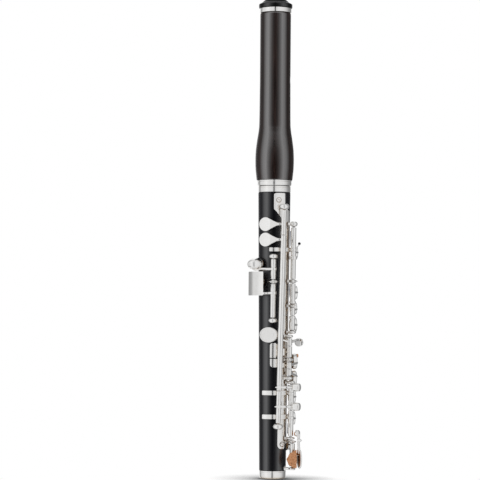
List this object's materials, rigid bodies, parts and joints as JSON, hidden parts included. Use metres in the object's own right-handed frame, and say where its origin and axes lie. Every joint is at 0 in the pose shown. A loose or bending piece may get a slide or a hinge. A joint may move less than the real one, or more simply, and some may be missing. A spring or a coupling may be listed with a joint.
{
  "type": "piccolo",
  "caption": "Wooden piccolo with a conical body, silver key work on posts, open and closed pad keys, a sliding head joint and a screw crown.",
  "frame": {"origin": "centre of the crown's flat top, on the bore", "axes": "+Z out of the crown along the bore, +X towards the blow hole and the tone holes, -Y towards the player"},
  "size_m": [0.0405, 0.0351, 0.3165],
  "materials": {
    "silver_plate": "polished silver plate",
    "steel": "ground",
    "blued_steel": "blued",
    "ebony": "oiled grenadilla, near black",
    "rosewood": "oiled, dark red brown",
    "cork": "natural cork",
    "pad_skin": "skin over felt"
  },
  "bodies": {
    "body": {"a_spring": "blued_steel", "b_thumb_spring": "blued_steel", "body_top_ring": "silver_plate", "body_wood": "ebony", "c_spring": "blued_steel", "d_spring": "blued_steel", "e_flat_post_foot": "silver_plate", "e_flat_post_top": "silver_plate", "e_flat_steel": "steel", "e_spring": "blued_steel", "foot_ring": "silver_plate", "key_strap": "silver_plate", "lower_steel": "steel", "middle_steel": "steel", "strap_screw_foot": "silver_plate", "strap_screw_top": "silver_plate", "tenon_cork": "cork", "thumb_post_foot": "silver_plate", "thumb_post_middle": "silver_plate", "thumb_post_top": "silver_plate", "thumb_steel": "steel", "upper_steel": "steel"},
    "head_slide": {"head_socket": "silver_plate"},
    "head": {"head_wood": "rosewood", "crown_ring": "silver_plate"},
    "crown": {"crown": "ebony"},
    "stopper": {"stopper_rod": "steel", "stopper_cork": "cork"},
    "d_sharp_trill_key": {"d_sharp_trill_key": "silver_plate", "d_sharp_trill_pad": "pad_skin"},
    "d_trill_key": {"d_trill_key": "silver_plate", "d_trill_pad": "pad_skin"},
    "c_key": {"c_key": "silver_plate", "c_pad": "pad_skin"},
    "a_key": {"a_key": "silver_plate", "a_pad": "pad_skin"},
    "b_flat_key": {"b_flat_key": "silver_plate", "b_flat_pad": "pad_skin"},
    "g_key": {"g_key": "silver_plate", "g_pad": "pad_skin"},
    "b_thumb_key": {"b_thumb_key": "silver_plate", "b_thumb_pad": "pad_skin"},
    "b_flat_thumb_key": {"b_flat_thumb_key": "silver_plate", "b_flat_thumb_pad": "pad_skin"},
    "g_sharp_key": {"g_sharp_key": "silver_plate", "g_sharp_pad": "pad_skin"},
    "side_b_flat_lever": {"side_b_flat_lever": "silver_plate"},
    "f_sharp_key": {"f_sharp_key": "silver_plate", "f_sharp_pad": "pad_skin"},
    "f_key": {"f_key": "silver_plate", "f_pad": "pad_skin"},
    "e_key": {"e_key": "silver_plate", "e_pad": "pad_skin"},
    "d_key": {"d_key": "silver_plate", "d_pad": "pad_skin"},
    "e_flat_key": {"e_flat_key": "silver_plate", "e_flat_pad": "pad_skin", "e_flat_cork": "cork"}
  },
  "joints": [
    {"name": "head_tuning", "type": "slide", "parent": "body", "child": "head_slide", "axis": [0, 0, 1], "range_m": [0, 0.008]},
    {"name": "head_turn", "type": "hinge", "parent": "head_slide", "child": "head", "pos_m": [0, 0, 0], "axis": [0, 0, 1], "continuous": true},
    {"name": "crown_turn", "type": "hinge", "parent": "head", "child": "crown", "pos_m": [0, 0, 0], "axis": [0, 0, 1], "range_deg": [-360, 360]},
    {"name": "stopper_shift", "type": "slide", "parent": "head", "child": "stopper", "axis": [0, 0, 1], "range_m": [-0.0007, 0.0007]},
    {"name": "d_sharp_trill_press", "type": "hinge", "parent": "body", "child": "d_sharp_trill_key", "pos_m": [-0.00217, -0.01587, -0.2102], "axis": [0.0179, -0.0127, 0.9998], "range_deg": [0, 7.5], "stiffness_Nm_per_rad": 0.02},
    {"name": "d_trill_press", "type": "hinge", "parent": "body", "child": "d_trill_key", "pos_m": [-0.00217, -0.01587, -0.2102], "axis": [0.0179, -0.0127, 0.9998], "range_deg": [0, 7.5], "stiffness_Nm_per_rad": 0.02},
    {"name": "c_press", "type": "hinge", "parent": "body", "child": "c_key", "pos_m": [0.0085, -0.01128, -0.185], "axis": [0.0061, -0.0081, 0.9999], "range_deg": [0, 15], "stiffness_Nm_per_rad": 0.02},
    {"name": "a_press", "type": "hinge", "parent": "body", "child": "a_key", "pos_m": [0.0085, -0.01128, -0.185], "axis": [0.0061, -0.0081, 0.9999], "range_deg": [0, 15], "stiffness_Nm_per_rad": 0.02},
    {"name": "b_flat_press", "type": "hinge", "parent": "body", "child": "b_flat_key", "pos_m": [0.0085, -0.01128, -0.185], "axis": [0.0061, -0.0081, 0.9999], "range_deg": [0, 15], "stiffness_Nm_per_rad": 0.02},
    {"name": "g_press", "type": "hinge", "parent": "body", "child": "g_key", "pos_m": [0.0085, -0.01128, -0.185], "axis": [0.0061, -0.0081, 0.9999], "range_deg": [0, 15], "stiffness_Nm_per_rad": 0.02},
    {"name": "b_thumb_press", "type": "hinge", "parent": "body", "child": "b_thumb_key", "pos_m": [-0.00621, -0.01194, -0.19195], "axis": [0.0003, -0.0116, 0.9999], "range_deg": [-7.5, 0], "stiffness_Nm_per_rad": 0.02},
    {"name": "b_flat_thumb_press", "type": "hinge", "parent": "body", "child": "b_flat_thumb_key", "pos_m": [-0.00621, -0.01194, -0.19195], "axis": [0.0003, -0.0116, 0.9999], "range_deg": [-7.5, 0], "stiffness_Nm_per_rad": 0.02},
    {"name": "g_sharp_press", "type": "hinge", "parent": "body", "child": "g_sharp_key", "pos_m": [0.00559, -0.01256, -0.23685], "axis": [0.0041, -0.0093, 0.9999], "range_deg": [0, 9], "stiffness_Nm_per_rad": 0.02},
    {"name": "side_b_flat_press", "type": "hinge", "parent": "body", "child": "side_b_flat_lever", "pos_m": [0.00559, -0.01256, -0.23685], "axis": [0.0041, -0.0093, 0.9999], "range_deg": [-4, 0], "stiffness_Nm_per_rad": 0.02},
    {"name": "f_sharp_press", "type": "hinge", "parent": "body", "child": "f_sharp_key", "pos_m": [0.00559, -0.01256, -0.23685], "axis": [0.0041, -0.0093, 0.9999], "range_deg": [0, 15], "stiffness_Nm_per_rad": 0.02},
    {"name": "f_press", "type": "hinge", "parent": "body", "child": "f_key", "pos_m": [0.00559, -0.01256, -0.23685], "axis": [0.0041, -0.0093, 0.9999], "range_deg": [0, 15], "stiffness_Nm_per_rad": 0.02},
    {"name": "e_press", "type": "hinge", "parent": "body", "child": "e_key", "pos_m": [0.00788, -0.01084, -0.27155], "axis": [0.006, -0.0082, 0.9999], "range_deg": [0, 15], "stiffness_Nm_per_rad": 0.02},
    {"name": "d_press", "type": "hinge", "parent": "body", "child": "d_key", "pos_m": [0.00788, -0.01084, -0.27155], "axis": [0.006, -0.0082, 0.9999], "range_deg": [0, 15], "stiffness_Nm_per_rad": 0.02},
    {"name": "e_flat_press", "type": "hinge", "parent": "body", "child": "e_flat_key", "pos_m": [0.00903, -0.01077, -0.30095], "axis": [0.0065, -0.0078, 0.9999], "range_deg": [-10, 0], "stiffness_Nm_per_rad": 0.02}
  ],
  "couplings": [
    {"joint": "crown_turn", "follows": "stopper_shift", "rad_per_m": -8975},
    {"joint": "b_flat_press", "follows": "a_press", "ratio": 1},
    {"joint": "f_sharp_press", "follows": "f_press", "ratio": 1}
  ]
}
